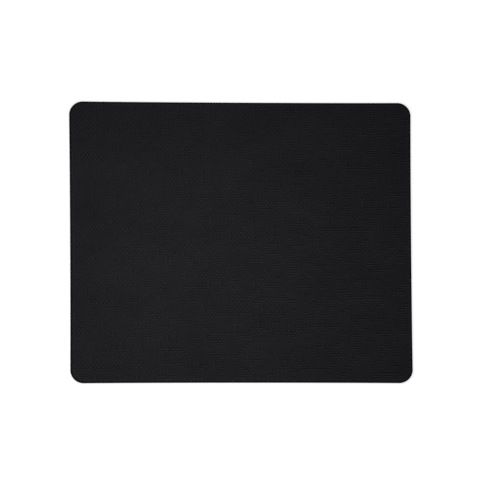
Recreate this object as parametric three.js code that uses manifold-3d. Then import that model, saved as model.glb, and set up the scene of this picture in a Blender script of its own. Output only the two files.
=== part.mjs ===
// Cloth-topped mouse pad. A woven polyester face is bonded by a hot-melt film to a foamed rubber base, and
// the base's underside is embossed with a wave tread that grips the desk. The three layers are laminated as
// whole sheets and then die-cut together, so they share one outline.
// Millimetres, +Z up. X runs along the long side, and the origin is the centre of the underside.

import * as THREE from "three";
import { mergeVertices } from "three/addons/utils/BufferGeometryUtils.js";
import Module from "manifold-3d";

// Die-cut outline, seen from above
const padWidth = 220;
const padDepth = 180;
const cornerRadius = 8.5;
const sideDrawIn = 0.3; // the sheet relaxes after the cut, so each side bows in by this at its middle
const drawInReach = 40; // distance from a corner to the point that steers the bow

// Layers, from the desk up
const baseThickness = 2.4;
const filmThickness = 0.1;
const clothThickness = 0.5;

// Cut edge
const shoulderWidth = 0.7; // the falling blade rolls the cloth's edge down over this width
const shoulderDrop = 0.35;
const filmSetback = 0.12; // the film springs back behind the cloth's cut end
const wallDish = 0.3; // squeezed foam is cut hollow: the wall's setback at mid height
const heelRound = 0.25; // soft lower rim of the foam wall

// Wave tread of the underside
const treadPitch = 8;
const treadMargin = 2; // plain land kept along the front and back edges
const grooveWidth = 2.6;
const grooveDepth = 0.4;
const waveLength = 40;
const waveHeight = 2.5; // from the middle line to a crest

// Facets
const outlineSteps = 6; // on each side; a corner gets twice as many
const edgeSteps = 4; // on each rounding of an edge profile
const stepsPerWave = 6;
const cutterOverlap = 1; // how far a groove cutter reaches outside the rubber

const wasm = await Module();
wasm.setup();

// The cut line drawn in by an inset: four corner arcs joined by shallow curves, anticlockwise
function cutOutline(inset) {
  const centreX = padWidth / 2 - cornerRadius;
  const centreY = padDepth / 2 - cornerRadius;
  const radius = cornerRadius - inset;
  const quarter = Math.PI / 2;
  const centres = [[1, 1], [-1, 1], [-1, -1], [1, -1]];
  const arcs = centres.map(([signX, signY], i) => {
    const turn = i * quarter;
    return new THREE.EllipseCurve(signX * centreX, signY * centreY, radius, radius, turn, turn + quarter);
  });

  const outline = new THREE.CurvePath();
  arcs.forEach((arc, i) => {
    const next = arcs[(i + 1) % arcs.length];
    const start = arc.getPoint(1);
    const end = next.getPoint(0);
    const along = end.clone().sub(start).normalize();
    const inwards = new THREE.Vector2(-along.y, along.x);
    // A cubic's middle moves three quarters as far as its handles
    const steer = inwards.multiplyScalar((sideDrawIn * 4) / 3);
    const startHandle = start.clone().addScaledVector(along, drawInReach).add(steer);
    const endHandle = end.clone().addScaledVector(along, -drawInReach).add(steer);
    outline.add(arc);
    outline.add(new THREE.CubicBezierCurve(start, startHandle, endHandle, end));
  });
  return outline.getPoints(outlineSteps).slice(0, -1); // the last point repeats the first
}

// A closed sheet whose edge follows a profile of [inset, height] rows, from its underside to its top
function sheetWithEdge(profile) {
  const rings = profile.map(([inset, height]) =>
    cutOutline(inset).map((point) => [point.x, point.y, height]));
  const count = rings[0].length;
  const topStart = (rings.length - 1) * count;
  const index = [];
  for (let row = 0; row < rings.length - 1; row++) {
    for (let i = 0; i < count; i++) {
      const here = row * count + i;
      const beside = row * count + ((i + 1) % count);
      index.push(here, beside, beside + count, here, beside + count, here + count);
    }
  }
  for (const [a, b, c] of THREE.ShapeUtils.triangulateShape(cutOutline(0), [])) {
    index.push(c, b, a);
    index.push(topStart + a, topStart + b, topStart + c);
  }
  const geometry = new THREE.BufferGeometry();
  geometry.setAttribute("position", new THREE.Float32BufferAttribute(rings.flat(2), 3));
  geometry.setIndex(index);
  geometry.computeVertexNormals();
  return geometry;
}

// A closed geometry as a solid that can be cut
function solidFrom(geometry) {
  const bare = geometry.clone();
  bare.deleteAttribute("normal");
  bare.deleteAttribute("uv");
  const merged = mergeVertices(bare);
  return new wasm.Manifold(new wasm.Mesh({
    numProp: 3,
    vertProperties: merged.getAttribute("position").array,
    triVerts: new Uint32Array(merged.index.array),
  }));
}

function geometryFrom(solid) {
  const mesh = solid.getMesh();
  const geometry = new THREE.BufferGeometry();
  geometry.setAttribute("position", new THREE.BufferAttribute(mesh.vertProperties, 3));
  geometry.setIndex(new THREE.BufferAttribute(mesh.triVerts, 1));
  geometry.computeVertexNormals();
  return geometry;
}

// Middle line of one tread groove: a wave along X that runs out past both ends of the pad
class WaveLine extends THREE.Curve {
  constructor(middleY) {
    super();
    this.middleY = middleY;
    this.length = padWidth + 2 * cutterOverlap;
  }

  getPoint(t, target = new THREE.Vector3()) {
    const x = (t - 0.5) * this.length;
    const y = this.middleY + waveHeight * Math.cos((2 * Math.PI * x) / waveLength);
    return target.set(x, y, 0);
  }
}

// Cutter for one groove: a V section carried along its wave. The section's x points down and its y across
function grooveCutter(middleY) {
  const halfWidth = grooveWidth / 2;
  const openHalfWidth = halfWidth * (1 + cutterOverlap / grooveDepth);
  const section = new THREE.Shape([
    new THREE.Vector2(-grooveDepth, 0),
    new THREE.Vector2(cutterOverlap, openHalfWidth),
    new THREE.Vector2(cutterOverlap, -openHalfWidth),
  ]);
  const line = new WaveLine(middleY);
  const steps = Math.round((line.length / waveLength) * stepsPerWave);
  return solidFrom(new THREE.ExtrudeGeometry(section, { extrudePath: line, steps }));
}

// Foamed rubber base: a dished wall with a rounded heel, and in its underside as many wave grooves as the
// margins leave room for
function rubberBase() {
  const profile = [];
  for (let i = 0; i <= edgeSteps; i++) {
    const turn = (i / edgeSteps) * (Math.PI / 2);
    profile.push([heelRound * (1 - Math.sin(turn)), heelRound * (1 - Math.cos(turn))]);
  }
  for (let i = 1; i <= edgeSteps; i++) {
    const rise = i / edgeSteps;
    const height = heelRound + (baseThickness - heelRound) * rise;
    profile.push([wallDish * Math.sin(Math.PI * rise), height]);
  }
  let base = solidFrom(sheetWithEdge(profile));

  const treadDepth = padDepth - 2 * (treadMargin + waveHeight + grooveWidth / 2);
  const spaces = Math.floor(treadDepth / treadPitch);
  for (let i = 0; i <= spaces; i++) {
    base = base.subtract(grooveCutter((i - spaces / 2) * treadPitch));
  }
  return geometryFrom(base);
}

// Hot-melt film: a plain sheet behind the cut line
function adhesiveFilm() {
  return sheetWithEdge([[filmSetback, 0], [filmSetback, filmThickness]]);
}

// Woven cloth: cut square below, its upper edge rolled down over the shoulder
function wovenCloth() {
  const profile = [[0, 0]];
  for (let i = 0; i <= edgeSteps; i++) {
    const turn = (i / edgeSteps) * (Math.PI / 2);
    const inset = shoulderWidth * (1 - Math.cos(turn));
    profile.push([inset, clothThickness - shoulderDrop * (1 - Math.sin(turn))]);
  }
  return sheetWithEdge(profile);
}

const pad = new THREE.Group();

function addLayer(name, geometry, height, material) {
  const layer = new THREE.Mesh(geometry, new THREE.MeshStandardMaterial(material));
  layer.name = name;
  layer.position.z = height;
  pad.add(layer);
}

const filmHeight = baseThickness;
const clothHeight = filmHeight + filmThickness;
addLayer("rubber_base", rubberBase(), 0, { color: 0x161617, roughness: 0.85, metalness: 0 });
addLayer("adhesive_film", adhesiveFilm(), filmHeight, { color: 0x2a2825, roughness: 0.45, metalness: 0 });
addLayer("woven_cloth", wovenCloth(), clothHeight, { color: 0x1e1e20, roughness: 0.95, metalness: 0 });

export default pad;
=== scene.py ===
import math

import bpy
import numpy as np
from mathutils import Matrix, Vector


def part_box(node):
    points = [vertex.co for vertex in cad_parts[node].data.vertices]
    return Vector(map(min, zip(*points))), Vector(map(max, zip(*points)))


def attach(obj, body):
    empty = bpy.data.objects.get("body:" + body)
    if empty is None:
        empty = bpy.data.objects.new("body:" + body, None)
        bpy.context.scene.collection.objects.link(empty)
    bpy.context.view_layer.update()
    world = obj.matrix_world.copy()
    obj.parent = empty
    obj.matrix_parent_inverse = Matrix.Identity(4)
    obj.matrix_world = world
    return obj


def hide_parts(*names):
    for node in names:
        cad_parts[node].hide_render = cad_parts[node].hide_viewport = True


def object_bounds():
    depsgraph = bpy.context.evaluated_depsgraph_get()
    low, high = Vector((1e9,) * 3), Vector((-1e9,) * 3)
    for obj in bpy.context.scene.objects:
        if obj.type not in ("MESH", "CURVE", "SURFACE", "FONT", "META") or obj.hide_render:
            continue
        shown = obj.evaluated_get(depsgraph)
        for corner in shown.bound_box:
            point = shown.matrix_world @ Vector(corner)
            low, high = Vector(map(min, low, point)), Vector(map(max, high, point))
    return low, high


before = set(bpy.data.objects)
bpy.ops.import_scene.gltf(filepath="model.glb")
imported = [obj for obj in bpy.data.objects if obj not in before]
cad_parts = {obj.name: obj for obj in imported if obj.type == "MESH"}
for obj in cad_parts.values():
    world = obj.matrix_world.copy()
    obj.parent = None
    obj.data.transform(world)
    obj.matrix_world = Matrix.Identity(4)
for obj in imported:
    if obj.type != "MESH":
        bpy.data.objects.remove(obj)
cadLow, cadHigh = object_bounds()
mm = 0.001

padSize = cadHigh - cadLow
halfWidth = padSize.x / 2
halfDepth = padSize.y / 2
baseLow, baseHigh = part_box("rubber_base")
filmLow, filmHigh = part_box("adhesive_film")
clothLow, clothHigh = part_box("woven_cloth")
padInMm = [round(side / mm, 2) for side in padSize]
print("frame loaded,", len(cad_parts), "nodes, pad", padInMm, "mm")

# the die's outline, shared by all three layers
cutLine = {
    "cornerRadius": 8.5 * mm,
    "cornerSteps": 14,
    "sideDrawIn": 0.3 * mm,  # each side bows in by this at its middle
    "drawInReach": 40 * mm,  # length of the bow's handles, from the ends of the corners
    "bowSamples": 81,
}


# How far a side is drawn in at a distance from its middle. The side is a cubic curve: its station is
# a*t + b*t^3 and its drop 1 - t^2 for t from -1 to 1, where b follows from the handles' length.
def sideBow(station, halfSide):
    straight = halfSide - cutLine["cornerRadius"]
    t = np.linspace(-1, 1, cutLine["bowSamples"])
    b = (1.5 * cutLine["drawInReach"] - straight) / 2
    return np.interp(station, (straight - b) * t + b * t**3, cutLine["sideDrawIn"] * (1 - t**2))


# Points over the cut outline, as rows of depths by columns. A column lies at its share of the outline's
# half width at that depth, less its offset from the rim, and the sides' bow then draws the whole grid in.
# Gives x, y and the distance in from the rim. An inset shrinks the outline all round.
def outlineGrid(depths, shares, offsets, inset=0):
    radius = cutLine["cornerRadius"] - inset
    wide, deep = halfWidth - inset, halfDepth - inset
    intoCorner = np.clip(np.abs(depths) - (deep - radius), 0, radius)
    x = shares * (wide - radius + np.sqrt(radius**2 - intoCorner**2) - offsets)
    y = np.broadcast_to(depths, x.shape)
    overX, overY = np.abs(x) - (wide - radius), np.abs(y) - (deep - radius)
    pastCentres = np.hypot(np.maximum(overX, 0), np.maximum(overY, 0))
    fromRim = radius - pastCentres - np.minimum(np.maximum(overX, overY), 0)
    return x * (1 - sideBow(y, halfDepth) / wide), y * (1 - sideBow(x, halfWidth) / deep), fromRim


# Columns for outlineGrid: a rim profile's offsets at both ends, and even shares of the width between them
def rimColumns(offsets, inner):
    ends = np.ones(len(offsets))
    shares = np.concatenate([-ends, np.linspace(-1, 1, inner + 2)[1:-1], ends])
    return shares, np.concatenate([offsets, np.full(inner, offsets[-1]), offsets[::-1]])


# Depths at even angles round the corner arcs, from the rim to where a side runs straight
def cornerDepths(inset=0):
    radius = cutLine["cornerRadius"] - inset
    turn = np.linspace(0, math.pi / 2, cutLine["cornerSteps"] + 1)
    return halfDepth - inset - radius * (1 - np.cos(turn))


# A grid's rim, once round from the front left corner, anticlockwise seen from above
def rimOf(grid):
    return np.concatenate([grid[0, :-1], grid[:-1, -1], grid[-1, :0:-1], grid[:0:-1, 0]])


# Unit vectors that point in from a closed line of points: the tangent between neighbours, turned left
def inwardOf(line):
    tangent = np.roll(line, -1, axis=0) - np.roll(line, 1, axis=0)
    inward = np.stack([-tangent[:, 1], tangent[:, 0]], axis=-1)
    return inward / np.linalg.norm(inward, axis=1, keepdims=True)


# Wall rings under or over a rim: at each ring the rim is set in by an inset and stands at a height.
# Insets and heights are rings by rim points.
def wallRings(rim, insets, heights):
    places = rim[None, :, :2] + inwardOf(rim[:, :2])[None] * insets[..., None]
    return np.concatenate([places, np.broadcast_to(heights, insets.shape)[..., None]], axis=-1)


# A closed sheet: a grid of face points, wall rings carried on from the grid's rim, and a flat cap on the
# last ring. The face looks up and the wall goes down, or with faceUp False the other way round.
def closedSheet(name, face, rings, faceUp):
    rows, columns = face.shape[:2]
    index = np.arange(rows * columns).reshape(rows, columns)
    corners = [index[:-1, :-1], index[:-1, 1:], index[1:, 1:], index[1:, :-1]]
    count = rings.shape[1]
    added = rows * columns + np.arange(len(rings) * count).reshape(-1, count)
    ringIndex = np.vstack([rimOf(index), added])
    beside = np.roll(ringIndex, -1, axis=1)
    wall = [ringIndex[:-1], ringIndex[1:], beside[1:], beside[:-1]]
    quads = np.vstack([np.stack(four, axis=-1).reshape(-1, 4) for four in (corners, wall)])
    cap = ringIndex[-1][::-1]
    if not faceUp:
        quads, cap = quads[:, ::-1], cap[::-1]
    points = np.vstack([face.reshape(-1, 3), rings.reshape(-1, 3)])
    mesh = bpy.data.meshes.new(name)
    mesh.from_pydata(points, [], quads.tolist() + [cap.tolist()])
    smooth = np.ones(len(mesh.polygons), dtype=bool)
    smooth[-1] = False  # the cap stays flat
    mesh.polygons.foreach_set("use_smooth", smooth)
    piece = bpy.data.objects.new(name, mesh)
    bpy.context.scene.collection.objects.link(piece)
    print(name, len(mesh.polygons), "faces")
    return piece


# Keeps one number at each point of a piece, first the face's and then the rings', for its material to read
def pointValue(piece, name, faceValues, ringValues):
    values = np.concatenate([faceValues.ravel(), ringValues.ravel()]).astype(np.float32)
    piece.data.attributes.new(name, "FLOAT", "POINT").data.foreach_set("value", values)


# How far a rounded rim has rolled down: a quarter of an ellipse, from the drop at the rim to none inside
def rimRoll(fromRim, width, drop):
    across = np.clip(fromRim / width, 0, 1)
    return drop * (1 - np.sqrt(1 - (1 - across) ** 2))


# Slow waves once round a rim, from -1 to 1: a mean of sines, each with a whole count of waves and a start
def roundRim(count, waves, start=0):
    turn = np.arange(count) / count * 2 * math.pi
    return sum(np.sin(wave * turn + wave + start) for wave in waves) / len(waves)


# An uneven field of about -2 to 2 over x and y: a sum of sines of seeded lengths along x, slants and phases
def unevenField(x, y, lengths, slant, seed, waves=24):
    draw = np.random.default_rng(seed)
    alongX = 2 * math.pi / draw.uniform(*lengths, waves)
    alongY = alongX * draw.uniform(-slant, slant, waves)
    phase = draw.uniform(0, 2 * math.pi, waves)
    return np.sin(x[..., None] * alongX + y[..., None] * alongY + phase).sum(axis=-1) * math.sqrt(2 / waves)


# An sRGB hex colour as linear red, green, blue and alpha
def linearColour(hexText):
    srgb = np.array([int(hexText[i:i + 2], 16) for i in (1, 3, 5)]) / 255
    return (*np.where(srgb <= 0.04045, srgb / 12.92, ((srgb + 0.055) / 1.055) ** 2.4), 1.0)


# Adds a node: settings go to the node itself, and inputs are sockets to join or values to set
def addNode(tree, kind, inputs={}, **settings):
    node = tree.nodes.new(kind)
    for name, value in settings.items():
        setattr(node, name, value)
    for socket, value in inputs.items():
        if isinstance(value, bpy.types.NodeSocket):
            tree.links.new(value, node.inputs[socket])
        else:
            node.inputs[socket].default_value = value
    return node


# An empty node material and its tree
def newMaterial(name):
    material = bpy.data.materials.new(name)
    material.use_nodes = True
    material.node_tree.nodes.clear()
    return material, material.node_tree


noiseReach = (0.3, 0.7)  # the range in which most of a noise lies


# A piece's own coordinates in a material, in millimetres
def placeInMm(tree):
    place = addNode(tree, "ShaderNodeTexCoord").outputs["Object"]
    return addNode(tree, "ShaderNodeVectorMath", {0: place, "Scale": 1 / mm}, operation="SCALE").outputs[0]


cloth = {
    "ribPitch": 1.58 * mm,  # real yarns are finer: drawn as coarse as the photo shows them
    "warpPitch": 2.45 * mm,
    "ribHeight": 0.04 * mm,  # from a rib's middle to its crest
    "skew": 0.012,  # the cloth lay this much askew under the die: rise of a rib along the width
    "rowsPerRib": 6,
    "columns": 92,
    "rimOffsets": np.array([0, 0.04, 0.12, 0.25, 0.45, 0.7, 1.0, 1.4, 2.0, 2.8]) * mm,
    "shoulderWidth": 0.7 * mm,
    "shoulderDrop": 0.35 * mm,
    "pressed": (0.5 * mm, 1.3 * mm),  # the die pressed the ribs flat: full to here, gone there
    # gains of the tone by distance from the rim: painted shade at the rolled rim and cut side, then a
    # painted highlight line, then even
    "rimTones": (np.array([0.5, 1.35, 2.0, 2.8]) * mm, [0.15, 1.15, 1.15, 1.0]),
    "yarnEnd": 0.04 * mm,  # how far a cut yarn stands out of the side
    "wander": 0.07,  # how far yarns stray from their lines, in yarns
    "wanderLengths": (20 * mm, 80 * mm),
    "wanderSlant": 1.5,
    "slubLengths": (14 * mm, 50 * mm),  # stretches along which a rib stands high
    "slubSlant": 8,  # steep, so that neighbouring ribs differ
    "slubLimits": (-0.4, 1.4),  # of the uneven field, from a low rib to a high one
    "lowRib": 0.4,  # height of a low rib, as a share of a high one's
    "seeds": (7, 8, 9),  # of the ribs' and the warp's straying, and of the slubs
    "plainShare": 0.5,  # shares of the painted weave shading, highlights and shadows: first the even weave all over
    "dashShare": 1.05,  # thick stretches of ribs, so many warp yarns long and ribs deep
    "dashSize": (2.4, 2.8),
    "dashLimits": (0.52, 0.62),  # of the noise that spreads them, from none to a full one
    "dashDrift": (0.5, -0.2),  # how much they gain from the middle to the right and the back edge
    "beadShare": 1.8,  # patches where the crossings stand out as beads
    "beadSize": (2.2, 2.2),
    "beadLimits": (0.5, 0.66),
    "beadDrift": (-0.1, -0.1),
    "uprightShare": 0.5,  # thick stretches of warp yarns
    "uprightSize": (1.2, 2.5),
    "uprightLimits": (0.62, 0.7),
    "uprightDrift": (-0.2, 0),
    "cloudSize": (40.0, 28.0),  # millimetres
    "cloudDetail": (5.0, 0.8),  # octaves, and how much each finer one keeps
    "cloudGain": 0.17,
    "fibreSize": (1.0, 0.18),  # millimetres, along and across a yarn
    "fibreDetail": 2.0,
    "fibreGain": 0.3,
    "fibreTurn": 0.2,  # the fibres turn from warp to rib while the bead goes from minus to plus this
    "toneReach": 1.6,  # the weave's lightness runs from minus to plus this
    "darkColour": "#0d0c0f",
    "lightColour": "#262629",
    "roughness": (0.97, 0.85),  # in the troughs and on the crests, which are rubbed a little smoother
    "crestRelief": 1.2,  # height of the crests, as a share of the fibres'
    "relief": (0.4, 0.06 * mm),  # strength and depth of the bump
    "gloss": 0.08,  # specular level
    "sheen": (0.02, 0.5),  # weight and roughness
    "ior": 1.5,
}


# The cloth's upper side: each rib is a cosine across the depth, its height follows the slubs, and the rim
# rolls down. A yarn's number counts its line, across the depth for ribs and along the width for warp.
# Cut rib ends wave the sides.
def buildCloth():
    offsets = cloth["rimOffsets"]
    step = cloth["ribPitch"] / cloth["rowsPerRib"]
    inner = halfDepth - offsets[-1]
    between = np.arange(-inner + step, inner - step / 2, step)
    depths = np.concatenate([offsets - halfDepth, between, halfDepth - offsets[::-1]])
    x, y, fromRim = outlineGrid(depths[:, None], *rimColumns(offsets, cloth["columns"]))
    ribSeed, warpSeed, slubSeed = cloth["seeds"]
    ribStray = unevenField(x, y, cloth["wanderLengths"], cloth["wanderSlant"], ribSeed)
    ribNumber = (y - cloth["skew"] * x) / cloth["ribPitch"] + cloth["wander"] * ribStray
    warpStray = unevenField(x, y, cloth["wanderLengths"], cloth["wanderSlant"], warpSeed)
    warpNumber = (x + cloth["skew"] * y) / cloth["warpPitch"] + cloth["wander"] * warpStray
    low, high = cloth["slubLimits"]
    slub = unevenField(x, y, cloth["slubLengths"], cloth["slubSlant"], slubSeed)
    swell = cloth["lowRib"] + (1 - cloth["lowRib"]) * np.clip((slub - low) / (high - low), 0, 1)
    full, gone = cloth["pressed"]
    pressed = np.clip((gone - fromRim) / (gone - full), 0, 1)
    rib = np.cos(2 * math.pi * ribNumber)
    ribDrop = cloth["ribHeight"] * (1 - rib) * swell * (1 - pressed)
    roll = rimRoll(fromRim, cloth["shoulderWidth"], cloth["shoulderDrop"])
    face = np.stack([x, y, clothHigh.z - ribDrop - roll], axis=-1)
    rim = rimOf(face)
    atSides = np.abs(inwardOf(rim[:, :2])[:, 0]) ** 2
    rings = wallRings(rim, -cloth["yarnEnd"] * (rimOf(rib) * atSides)[None], np.full((1, 1), clothLow.z))
    piece = closedSheet("clothFace", face, rings, True)
    pointValue(piece, "ribNumber", ribNumber, rimOf(ribNumber))
    pointValue(piece, "warpNumber", warpNumber, rimOf(warpNumber))
    # the rim's painted shade and highlight line, and painted shade on the cut side, for the material to
    # read
    places, gains = cloth["rimTones"]
    pointValue(piece, "rimTone", np.interp(fromRim, places, gains), np.full(rings.shape[:2], gains[0]))
    return piece


# Woven polyester, dyed black: matt, with painted highlights and shadows of broken ribs and beads where
# thicker yarns stand out
def wovenPolyester():
    material, tree = newMaterial("Woven polyester, dyed black")
    inMm = placeInMm(tree)
    rib = addNode(tree, "ShaderNodeAttribute", attribute_name="ribNumber").outputs["Fac"]
    warp = addNode(tree, "ShaderNodeAttribute", attribute_name="warpNumber").outputs["Fac"]
    # the gain starts from the rim's painted shade and highlight line
    gain = addNode(tree, "ShaderNodeAttribute", attribute_name="rimTone").outputs["Fac"]
    ribLine = addNode(tree, "ShaderNodeMath", {0: rib}, operation="ROUND").outputs[0]

    # yarns get a painted highlight on their crests, and crossings are set off by half a yarn from one rib
    # to the next
    halfSteps = {0: ribLine, 1: 0.5, 2: warp}
    setOff = addNode(tree, "ShaderNodeMath", halfSteps, operation="MULTIPLY_ADD").outputs[0]
    crests = []
    for number in (rib, warp, setOff):
        turn = addNode(tree, "ShaderNodeMath", {0: number, 1: 2 * math.pi}, operation="MULTIPLY").outputs[0]
        crests.append(addNode(tree, "ShaderNodeMath", {0: turn}, operation="COSINE").outputs[0])
    ribCrest, warpCrest, crossing = crests
    bead = addNode(tree, "ShaderNodeMath", {0: ribCrest, 1: crossing}, operation="MULTIPLY").outputs[0]
    plain = {0: bead, 1: cloth["plainShare"]}
    weave = addNode(tree, "ShaderNodeMath", plain, operation="MULTIPLY").outputs[0]

    # a span is a yarn's crest and the trough behind it, a painted highlight with its painted shadow: it
    # begins a quarter of a yarn before the crest, so that both its ends are at a middle tone
    spans = []
    for number in (rib, warp):
        begun = addNode(tree, "ShaderNodeMath", {0: number, 1: 0.25}, operation="ADD").outputs[0]
        spans.append(addNode(tree, "ShaderNodeMath", {0: begun}, operation="FLOOR").outputs[0])
    ribSpan, warpSpan = spans

    # thicker yarn comes and goes by noise, each kind on its own level of it, with its painted highlight and
    # shadow: it keeps to a rib's span for dashes and to a warp yarn's for uprights, and drifts across the
    # pad
    shares = {0: inMm, 1: (mm / halfWidth, mm / halfDepth, 0)}
    padPlace = addNode(tree, "ShaderNodeVectorMath", shares, operation="MULTIPLY").outputs[0]
    for kind, x, y, level, form in (
        ("dash", warp, ribSpan, 0, ribCrest),
        ("bead", warp, rib, 5, bead),
        ("upright", warpSpan, rib, 9, warpCrest),
    ):
        place = addNode(tree, "ShaderNodeCombineXYZ", {"X": x, "Y": y, "Z": level}).outputs[0]
        scale = [1 / side for side in cloth[kind + "Size"]]
        spread = addNode(tree, "ShaderNodeMapping", {"Vector": place, "Scale": (*scale, 1)}).outputs[0]
        noise = {"Vector": spread, "Scale": 1.0, "Detail": 0.0}
        thick = addNode(tree, "ShaderNodeTexNoise", noise).outputs["Fac"]
        low, high = cloth[kind + "Limits"]
        limits = {0: thick, 1: low, 2: high, 4: cloth[kind + "Share"]}
        shown = addNode(tree, "ShaderNodeMapRange", limits).outputs[0]
        lean = {0: padPlace, 1: (*cloth[kind + "Drift"], 0)}
        drift = addNode(tree, "ShaderNodeVectorMath", lean, operation="DOT_PRODUCT").outputs["Value"]
        grown = {0: shown, 1: drift, 2: shown}
        shown = addNode(tree, "ShaderNodeMath", grown, operation="MULTIPLY_ADD").outputs[0]
        more = {0: form, 1: shown, 2: weave}
        weave = addNode(tree, "ShaderNodeMath", more, operation="MULTIPLY_ADD").outputs[0]
    # the weave's painted highlights and shadows set the tone, between the dark colour and the light one
    reach = cloth["toneReach"]
    light = addNode(tree, "ShaderNodeMapRange", {0: weave, 1: -reach, 2: reach}).outputs[0]
    tones = {0: light, 6: linearColour(cloth["darkColour"]), 7: linearColour(cloth["lightColour"])}
    tone = addNode(tree, "ShaderNodeMix", tones, data_type="RGBA").outputs[2]

    # fibres run along the yarn that lies on top, rib or warp, and slow clouds shade the whole cloth
    along, across = cloth["fibreSize"]
    fibres = []
    for scale in ((1 / across, 1 / along, 1), (1 / along, 1 / across, 1)):
        place = addNode(tree, "ShaderNodeMapping", {"Vector": inMm, "Scale": scale}).outputs[0]
        hairs = {"Vector": place, "Scale": 1.0, "Detail": cloth["fibreDetail"]}
        fibres.append(addNode(tree, "ShaderNodeTexNoise", hairs).outputs["Fac"])
    turned = cloth["fibreTurn"]
    onTop = addNode(tree, "ShaderNodeMapRange", {0: bead, 1: -turned, 2: turned}).outputs[0]
    fibre = addNode(tree, "ShaderNodeMix", {0: onTop, 2: fibres[0], 3: fibres[1]}).outputs[0]
    cloudScale = [1 / side for side in cloth["cloudSize"]]
    cloudPlace = addNode(tree, "ShaderNodeMapping", {"Vector": inMm, "Scale": (*cloudScale, 1)}).outputs[0]
    octaves, kept = cloth["cloudDetail"]
    clouds = {"Vector": cloudPlace, "Scale": 1.0, "Detail": octaves, "Roughness": kept}
    cloud = addNode(tree, "ShaderNodeTexNoise", clouds).outputs["Fac"]
    for field, share in ((fibre, cloth["fibreGain"]), (cloud, cloth["cloudGain"])):
        fade = {0: field, 1: noiseReach[0], 2: noiseReach[1], 3: 1 - share, 4: 1 + share}
        shade = addNode(tree, "ShaderNodeMapRange", fade).outputs[0]
        gain = addNode(tree, "ShaderNodeMath", {0: gain, 1: shade}, operation="MULTIPLY").outputs[0]
    colour = addNode(tree, "ShaderNodeVectorMath", {0: tone, "Scale": gain}, operation="SCALE").outputs[0]

    # the crests stand out with their fibres
    inTrough, onCrest = cloth["roughness"]
    roughness = addNode(tree, "ShaderNodeMapRange", {0: light, 3: inTrough, 4: onCrest}).outputs[0]
    raised = {0: light, 1: cloth["crestRelief"], 2: fibre}
    height = addNode(tree, "ShaderNodeMath", raised, operation="MULTIPLY_ADD").outputs[0]
    strength, depth = cloth["relief"]
    relief = {"Height": height, "Strength": strength, "Distance": depth}
    bump = addNode(tree, "ShaderNodeBump", relief).outputs[0]
    sheen, sheenRoughness = cloth["sheen"]
    surface = addNode(tree, "ShaderNodeBsdfPrincipled", {
        "Base Color": colour, "Roughness": roughness, "Normal": bump, "IOR": cloth["ior"],
        "Specular IOR Level": cloth["gloss"], "Sheen Weight": sheen,
        "Sheen Roughness": sheenRoughness}).outputs[0]
    addNode(tree, "ShaderNodeOutputMaterial", {"Surface": surface})
    return material


film = {
    "setback": 0.12 * mm,
    "bead": 0.04 * mm,  # bulge of the glue that the press squeezed out
    "beadRings": 5,
    "lumps": (7, 19, 43),  # swells round the rim
    "rows": 12,
    "columns": 40,
    "streakSize": 1.5,  # millimetres
    "streakDetail": 3.0,
    "darkColour": "#1d1b19",
    "lightColour": "#3d3934",
    "roughness": (0.35, 0.6),  # where the glue was drawn thin, and where it stayed thick
    "relief": (0.3, 0.05 * mm),
    "ior": 1.5,
}


# The glue film: a flat sheet whose edge is a half round bead that swells and thins in waves round the rim
def buildFilm():
    corner = cornerDepths(film["setback"])
    straight = np.linspace(-corner[-1], corner[-1], film["rows"])[1:-1]
    depths = np.concatenate([-corner, straight, corner[::-1]])
    x, y, _ = outlineGrid(depths[:, None], np.linspace(-1, 1, film["columns"]), 0, film["setback"])
    face = np.stack([x, y, np.full(x.shape, filmHigh.z)], axis=-1)
    rim = rimOf(face)
    swell = 1 + roundRim(len(rim), film["lumps"])
    turn = np.linspace(0, math.pi, film["beadRings"] + 2)[1:, None]
    heights = filmLow.z + (filmHigh.z - filmLow.z) * (1 + np.cos(turn)) / 2
    rings = wallRings(rim, -film["bead"] * np.sin(turn) * swell, heights)
    return closedSheet("glueFilm", face, rings, True)


# Hot-melt polyurethane, squeezed and cut: dull grey-brown glue, streaked, glossier where it was drawn thin
def hotMelt():
    material, tree = newMaterial("Hot-melt polyurethane glue")
    streaks = {"Vector": placeInMm(tree), "Scale": 1 / film["streakSize"], "Detail": film["streakDetail"]}
    thickness = addNode(tree, "ShaderNodeTexNoise", streaks).outputs["Fac"]
    tones = {0: thickness, 6: linearColour(film["darkColour"]), 7: linearColour(film["lightColour"])}
    tone = addNode(tree, "ShaderNodeMix", tones, data_type="RGBA").outputs[2]
    thin, thick = film["roughness"]
    dulled = {0: thickness, 1: noiseReach[0], 2: noiseReach[1], 3: thin, 4: thick}
    roughness = addNode(tree, "ShaderNodeMapRange", dulled).outputs[0]
    strength, depth = film["relief"]
    relief = {"Height": thickness, "Strength": strength, "Distance": depth}
    bump = addNode(tree, "ShaderNodeBump", relief).outputs[0]
    surface = addNode(tree, "ShaderNodeBsdfPrincipled", {
        "Base Color": tone, "Roughness": roughness, "Normal": bump, "IOR": film["ior"]}).outputs[0]
    addNode(tree, "ShaderNodeOutputMaterial", {"Surface": surface})
    return material


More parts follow.
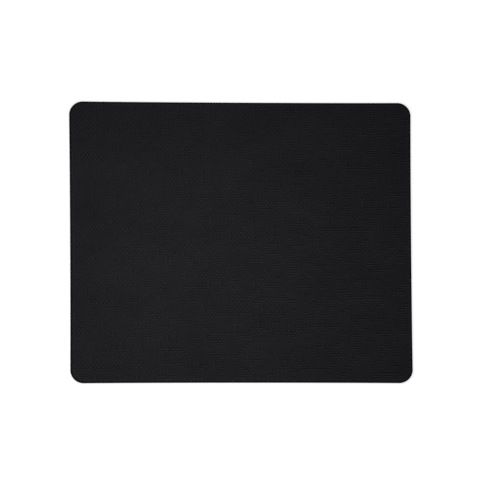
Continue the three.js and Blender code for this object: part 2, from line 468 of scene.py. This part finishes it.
base = {
    "treadPitch": 8 * mm,
    "treadMargin": 2 * mm,  # plain land along the front and back edges
    "grooveWidth": 2.6 * mm,
    "grooveDepth": 0.4 * mm,
    "grooveRows": 9,
    "waveLength": 40 * mm,
    "waveHeight": 2.5 * mm,
    "columns": 132,
    "rowGap": 0.2 * mm,  # rows round the corners keep this distance from the tread and the rim
    "rimOffsets": np.array([0, 0.03, 0.1, 0.25]) * mm,
    "heelRound": 0.25 * mm,
    "wallDish": 0.3 * mm,
    "wallRings": 10,
    "wallRipple": 0.03 * mm,  # unevenness of the blade's cut
    "ripples": (61, 97, 140),  # waves round the rim
    "rippleLean": 9,  # radians that they turn through from the wall's foot to its top
    "cellSize": 0.42,  # millimetres; real cells are somewhat finer, drawn larger to show on the wall
    "shutShare": 0.15,  # of the cells, which the blade left shut
    "pitReach": 0.5,  # of a cell's size: radius of the widest cells that the blade cut open
    "pitEdge": 0.12,  # of a cell's size: how far in from its edge a pit's painted shade is at its darkest
    "grainSize": 0.5,  # millimetres
    "grainDetail": 3.0,
    "darkColour": "#030303",
    "lightColour": "#424243",
    # painted shade in the grooves: the tone's gain there
    "grooveShadeGain": 0.55,
    "roughness": (0.9, 0.5),  # in pits and hollows, and on the grain's tops
    "grooveDull": 0.2,  # more roughness in the grooves
    "relief": (0.6, 0.15 * mm),
    "gloss": 0.04,
    "ior": 1.52,
}


# The rubber's underside: rows follow the tread's waves, and a groove is a raised cosine across its rows.
# The wall's lower rim is rounded, and above it the wall is dished by half a sine.
def buildBase():
    offsets = base["rimOffsets"]
    halfGroove = base["grooveWidth"] / 2
    room = 2 * (halfDepth - base["treadMargin"] - base["waveHeight"] - halfGroove)
    spaces = math.floor(room / base["treadPitch"])
    middles = (np.arange(spaces + 1) - spaces / 2) * base["treadPitch"]
    across = np.linspace(-1, 1, base["grooveRows"])
    treadDepths = (middles[:, None] + across * halfGroove).ravel()
    treadSink = np.tile((1 + np.cos(math.pi * across)) / 2, spaces + 1)
    corner = cornerDepths()
    outermost, innermost = halfDepth - offsets[-1] - base["rowGap"], treadDepths[-1] + base["rowGap"]
    corner = corner[(corner < outermost) & (corner > innermost)]
    rimDepths = np.concatenate([halfDepth - offsets, corner])
    depths = np.concatenate([-rimDepths, treadDepths, rimDepths[::-1]])
    plain = np.zeros(len(rimDepths))
    sunk = np.concatenate([plain, treadSink, plain])[:, None]
    fade = np.clip((halfDepth - np.abs(depths)) / (halfDepth - treadDepths[-1]), 0, 1)[:, None]
    shares, columnOffsets = rimColumns(offsets, base["columns"])
    wave = base["waveHeight"] * np.cos(2 * math.pi * shares * halfWidth / base["waveLength"])
    x, y, fromRim = outlineGrid(depths[:, None] + fade * wave, shares, columnOffsets)
    heel = rimRoll(fromRim, base["heelRound"], base["heelRound"])
    face = np.stack([x, y, baseLow.z + base["grooveDepth"] * sunk + heel], axis=-1)
    rim = rimOf(face)
    rise = np.linspace(0, 1, base["wallRings"] + 1)[1:, None]
    ripple = roundRim(len(rim), base["ripples"], base["rippleLean"] * rise)
    dish = np.sin(math.pi * rise) * (base["wallDish"] + base["wallRipple"] * ripple)
    rings = wallRings(rim, dish, rim[:, 2] + (baseHigh.z - rim[:, 2]) * rise)
    piece = closedSheet("rubberBase", face, rings, False)
    pointValue(piece, "cutWall", 1 - np.clip(fromRim / base["heelRound"], 0, 1), np.ones(rings.shape[:2]))
    pointValue(piece, "groove", np.broadcast_to(sunk, fromRim.shape), np.zeros(rings.shape[:2]))
    return piece


# Foamed rubber, moulded and die-cut: a matt grained skin below, duller in the grooves, and on the cut wall
# pits where cells were opened, painted dark as their shade; the grooves are darkened with painted shade
def foamedRubber():
    material, tree = newMaterial("Foamed rubber, die-cut")
    inMm = placeInMm(tree)
    wall = addNode(tree, "ShaderNodeAttribute", attribute_name="cutWall").outputs["Fac"]
    groove = addNode(tree, "ShaderNodeAttribute", attribute_name="groove").outputs["Fac"]

    # each cell was cut open by its own random share, and is a round pit inside that reach, painted dark as
    # shade
    cells = {"Vector": inMm, "Scale": 1 / base["cellSize"]}
    cell = addNode(tree, "ShaderNodeTexVoronoi", cells)
    share = addNode(tree, "ShaderNodeSeparateColor", {0: cell.outputs["Color"]}).outputs[0]
    opened = {0: share, 1: base["shutShare"], 4: base["pitReach"]}
    reach = addNode(tree, "ShaderNodeMapRange", opened).outputs[0]
    rim = {0: cell.outputs["Distance"], 1: reach}
    fromPit = addNode(tree, "ShaderNodeMath", rim, operation="SUBTRACT").outputs[0]
    pit = addNode(tree, "ShaderNodeMapRange", {0: fromPit, 1: -base["pitEdge"], 2: 0.0}).outputs[0]
    skin = {"Vector": inMm, "Scale": 1 / base["grainSize"], "Detail": base["grainDetail"]}
    grain = addNode(tree, "ShaderNodeTexNoise", skin).outputs["Fac"]
    cutFace = addNode(tree, "ShaderNodeMath", {0: pit, 1: grain}, operation="MULTIPLY").outputs[0]
    height = addNode(tree, "ShaderNodeMix", {0: wall, 2: grain, 3: cutFace}).outputs[0]
    # pits are painted dark as the shade inside them
    tones = {0: height, 6: linearColour(base["darkColour"]), 7: linearColour(base["lightColour"])}
    tone = addNode(tree, "ShaderNodeMix", tones, data_type="RGBA").outputs[2]
    # painted shade darkens the grooves
    gain = addNode(tree, "ShaderNodeMapRange", {0: groove, 3: 1.0, 4: base["grooveShadeGain"]}).outputs[0]
    colour = addNode(tree, "ShaderNodeVectorMath", {0: tone, "Scale": gain}, operation="SCALE").outputs[0]
    inHollow, onTop = base["roughness"]
    matt = addNode(tree, "ShaderNodeMapRange", {0: height, 3: inHollow, 4: onTop}).outputs[0]
    dulled = {0: groove, 1: base["grooveDull"], 2: matt}
    roughness = addNode(tree, "ShaderNodeMath", dulled, operation="MULTIPLY_ADD").outputs[0]
    strength, depth = base["relief"]
    relief = {"Height": height, "Strength": strength, "Distance": depth}
    bump = addNode(tree, "ShaderNodeBump", relief).outputs[0]
    surface = addNode(tree, "ShaderNodeBsdfPrincipled", {
        "Base Color": colour, "Roughness": roughness, "Normal": bump, "IOR": base["ior"],
        "Specular IOR Level": base["gloss"]}).outputs[0]
    addNode(tree, "ShaderNodeOutputMaterial", {"Surface": surface})
    return material


clothFace = buildCloth()
glueFilm = buildFilm()
rubberBase = buildBase()

for piece, node, slot, finish in (
    (clothFace, "woven_cloth", "cloth", wovenPolyester),
    (glueFilm, "adhesive_film", "film", hotMelt),
    (rubberBase, "rubber_base", "rubber", foamedRubber),
):
    piece.data.materials.append(finish())
    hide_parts(node)
    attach(piece, "root")
print("pieces dressed and placed")

studio = {
    "floorSize": 30.0,
    "floorGap": 0.02 * mm,
    "floorColour": "#e7e7e7",
    "floorGlow": 0.745,  # added to the lit floor where it is seen: it reads white and keeps its shadow
    "worldLight": 0.31,
    "lampPower": 0.41,
    "lampSize": 0.08,
    "lampPlace": (-0.045, -0.024, 0.23),
    "lampAim": (-0.045, -0.024, 0),
}


# Light paths that see the background itself: straight from the camera, or by a mirror or glass
def seenDirectly(tree):
    paths = addNode(tree, "ShaderNodeLightPath").outputs
    straight = {0: paths["Is Camera Ray"], 1: paths["Is Glossy Ray"]}
    either = addNode(tree, "ShaderNodeMath", straight, operation="MAXIMUM").outputs[0]
    through = {0: either, 1: paths["Is Transmission Ray"]}
    return addNode(tree, "ShaderNodeMath", through, operation="MAXIMUM").outputs[0]


# A plain white sweep under the pad
def buildFloor():
    half = studio["floorSize"] / 2
    ground = cadLow.z - studio["floorGap"]
    corners = [(-half, -half, ground), (half, -half, ground), (half, half, ground), (-half, half, ground)]
    mesh = bpy.data.meshes.new("floor")
    mesh.from_pydata(corners, [], [(0, 1, 2, 3)])
    floor = bpy.data.objects.new("floor", mesh)
    bpy.context.scene.collection.objects.link(floor)
    material, tree = newMaterial("White studio sweep")
    matt = addNode(tree, "ShaderNodeBsdfDiffuse", {"Color": linearColour(studio["floorColour"])}).outputs[0]
    seen = {0: seenDirectly(tree), 1: studio["floorGlow"]}
    strength = addNode(tree, "ShaderNodeMath", seen, operation="MULTIPLY").outputs[0]
    glow = addNode(tree, "ShaderNodeEmission", {"Strength": strength}).outputs[0]
    both = addNode(tree, "ShaderNodeAddShader", {0: matt, 1: glow}).outputs[0]
    addNode(tree, "ShaderNodeOutputMaterial", {"Surface": both})
    mesh.materials.append(material)


# Even light from all round, and one softbox over the pad's left
def buildLights():
    world = bpy.data.worlds.new("studio")
    world.use_nodes = True
    tree = world.node_tree
    tree.nodes.clear()
    levels = {0: seenDirectly(tree), 3: studio["worldLight"], 4: 1.0}
    strength = addNode(tree, "ShaderNodeMapRange", levels).outputs[0]
    sky = addNode(tree, "ShaderNodeBackground", {"Strength": strength}).outputs[0]
    addNode(tree, "ShaderNodeOutputWorld", {"Surface": sky})
    bpy.context.scene.world = world

    lamp = bpy.data.lights.new("softbox", "AREA")
    lamp.energy = studio["lampPower"]
    lamp.size = studio["lampSize"]
    softbox = bpy.data.objects.new("softbox", lamp)
    softbox.location = studio["lampPlace"]
    softbox.visible_camera = False  # it hangs in the camera's view
    aim = Vector(studio["lampAim"]) - softbox.location
    softbox.rotation_euler = aim.to_track_quat("-Z", "Y").to_euler()
    bpy.context.scene.collection.objects.link(softbox)


photoView = {
    "distance": 4.0,
    "leanToFront": 4.241,  # degrees off the vertical
    "leanToLeft": 7.009,
    "roll": -0.386,
    "aim": (-0.89 * mm, 1.54 * mm, 2.65 * mm),
    "lens": 469.4,
}


# The camera stands straight above its aim, its top towards +Y, then leans towards the pad's front and left
def buildCamera():
    camera = bpy.data.objects.new("camera", bpy.data.cameras.new("camera"))
    camera.data.lens = photoView["lens"]
    turn = Matrix.Rotation(math.radians(-photoView["leanToLeft"]), 4, "Y")
    turn @= Matrix.Rotation(math.radians(photoView["leanToFront"]), 4, "X")
    turn @= Matrix.Rotation(math.radians(photoView["roll"]), 4, "Z")
    back = Matrix.Translation((0, 0, photoView["distance"]))
    camera.matrix_world = Matrix.Translation(photoView["aim"]) @ turn @ back
    bpy.context.scene.collection.objects.link(camera)
    bpy.context.scene.camera = camera


buildFloor()
buildLights()
buildCamera()
bpy.context.scene.view_settings.view_transform = "Standard"
print("studio and camera ready")
